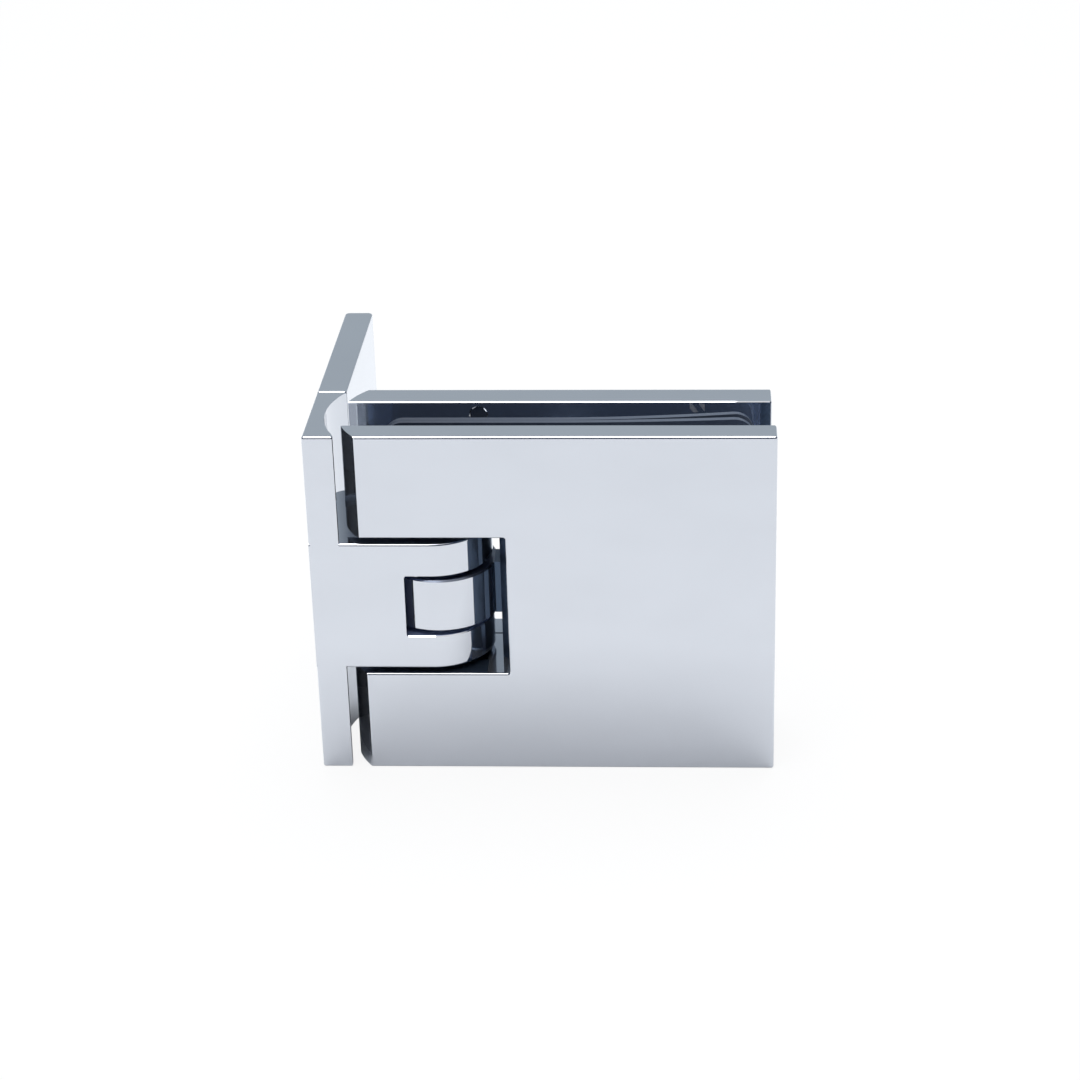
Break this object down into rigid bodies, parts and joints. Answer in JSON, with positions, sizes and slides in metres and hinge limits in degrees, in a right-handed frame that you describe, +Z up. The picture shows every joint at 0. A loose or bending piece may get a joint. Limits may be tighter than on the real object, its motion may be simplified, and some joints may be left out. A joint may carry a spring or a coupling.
{
  "type": "glass door hinge",
  "caption": "Polished glass-to-wall door hinge: offset wall plate with clip-on cover, knuckle fork and pin, and a notched two-plate clamp with gaskets for a frameless glass door.",
  "frame": {"origin": "on the wall face of the bracket, at mid height, in the plane of the pivot axis, which is also the middle plane of the clamp", "axes": "+X away from the wall, along the closed door; +Y towards the side that the long part of the wall plate covers; +Z up, along the pivot axis"},
  "size_m": [0.112, 0.081, 0.09],
  "materials": {
    "chrome": "polished",
    "steel": "satin",
    "plastic": "matte",
    "rubber": "matte"
  },
  "bodies": {
    "wall_side": {"wall_bracket": "chrome", "wall_cover": "chrome", "pivot_pin": "steel", "pin_lock_screw_upper": "steel", "pin_lock_screw_lower": "steel", "thrust_washer_upper": "plastic", "thrust_washer_lower": "plastic"},
    "glass_side": {"pivot_block": "chrome", "front_plate": "chrome", "back_plate": "chrome", "detent_plunger": "steel", "detent_spring": "steel", "detent_adjuster": "steel", "clamp_screw_upper": "steel", "clamp_screw_lower": "steel", "block_screw_upper": "steel", "block_screw_lower": "steel", "bush_upper": "plastic", "bush_lower": "plastic", "screw_sleeve_upper": "plastic", "screw_sleeve_lower": "plastic", "gasket_front": "rubber", "gasket_rear": "rubber"}
  },
  "joints": [
    {"name": "door_swing", "type": "hinge", "parent": "wall_side", "child": "glass_side", "pos_m": [0.029, 0, 0], "axis": [0, 0, 1], "range_deg": [-90, 90]}
  ]
}
